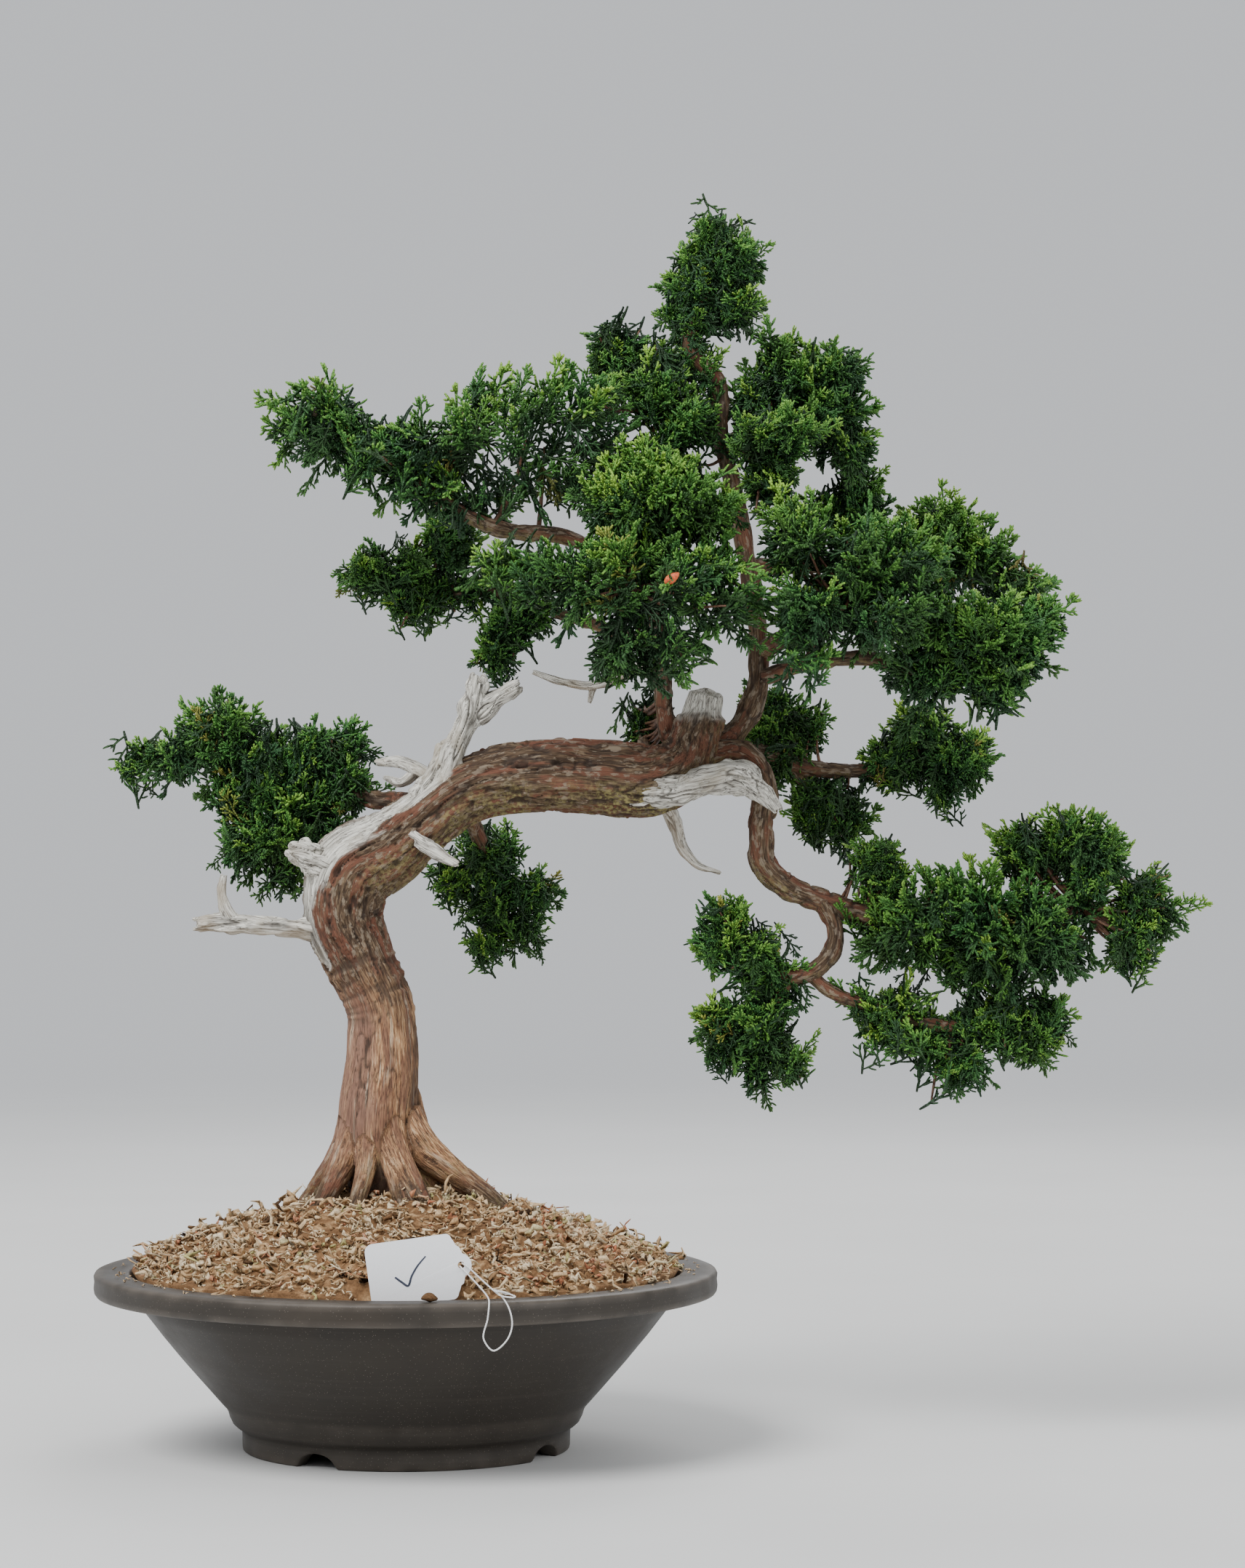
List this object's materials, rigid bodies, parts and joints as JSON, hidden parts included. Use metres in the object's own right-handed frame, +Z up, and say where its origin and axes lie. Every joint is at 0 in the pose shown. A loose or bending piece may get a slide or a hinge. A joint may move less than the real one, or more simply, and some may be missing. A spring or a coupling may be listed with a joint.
{
  "type": "bonsai tree in a pot",
  "caption": "Trained juniper bonsai with a curved trunk, bare deadwood and a drooping side branch, growing from a mossy mound in a round wide-lipped clay pot with a notched foot.",
  "frame": {"origin": "middle of the whole object's footprint, on the surface that the pot stands on", "axes": "+Z up, +X towards the drooping branch, +Y to the back of the tree"},
  "size_m": [0.5584, 0.32, 0.6392],
  "materials": {
    "pot_clay": "unglazed dark grey-brown clay, satin-matte, with fine pale specks",
    "soil": "damp granular potting soil",
    "moss": "dry chopped sphagnum moss, tan with rust and dark bits",
    "bark": "flaky fibrous red-brown bark with pale streaks",
    "deadwood": "bare weathered wood, bleached grey-white with fine dark cracks",
    "foliage": "dense scale-leaf juniper shoots, dark green with yellow-green tips",
    "card": "smooth white card",
    "cotton": "fine white cotton thread",
    "screen_plastic": "black plastic mesh",
    "wire": "brown anodised training wire"
  },
  "bodies": {
    "root": {"trunk_and_roots": "bark", "jin_tall_fork": "deadwood", "jin_knob": "deadwood", "jin_left_fork": "deadwood", "jin_front_stub": "deadwood", "jin_back_antler": "deadwood", "jin_branch_end": "deadwood", "jin_lower_twig": "deadwood", "jin_upper_twig": "deadwood", "branch_leader": "bark", "branch_left_riser": "bark", "branch_left_middle": "bark", "branch_front": "bark", "branch_front_right": "bark", "branch_far_right": "bark", "branch_right_back": "bark", "branch_upper_right": "bark", "branch_upper_front": "bark", "branch_apex_left": "bark", "branch_back_right": "bark", "branch_left_back": "bark", "branch_behind_trunk": "bark", "branch_cascade": "bark", "pad_upper_left": "foliage", "pad_left_middle": "foliage", "pad_left_hanging": "foliage", "pad_front_centre": "foliage", "pad_front_upper": "foliage", "pad_front_right": "foliage", "pad_far_right": "foliage", "pad_right_back": "foliage", "pad_upper_right": "foliage", "pad_right_middle": "foliage", "pad_centre_right": "foliage", "pad_centre_upper": "foliage", "pad_apex": "foliage", "pad_apex_left": "foliage", "pad_left_back": "foliage", "pad_left_lower": "foliage", "pad_behind_trunk": "foliage", "pad_back_small": "foliage", "pad_back_centre": "foliage", "pad_back_right": "foliage", "pad_back_lower": "foliage", "pad_cascade_upper_left": "foliage", "pad_cascade_lower_left": "foliage", "pad_cascade_top": "foliage", "pad_cascade_main": "foliage", "pad_cascade_crown": "foliage", "pad_cascade_tip": "foliage", "pad_cascade_lower_right": "foliage", "pad_cascade_lowest": "foliage", "pot": "pot_clay", "drain_screen": "screen_plastic", "screen_clip": "wire", "anchor_wire": "wire", "soil": "soil", "moss_dressing": "moss", "tag": "card", "tag_string": "cotton"}
  },
  "joints": []
}
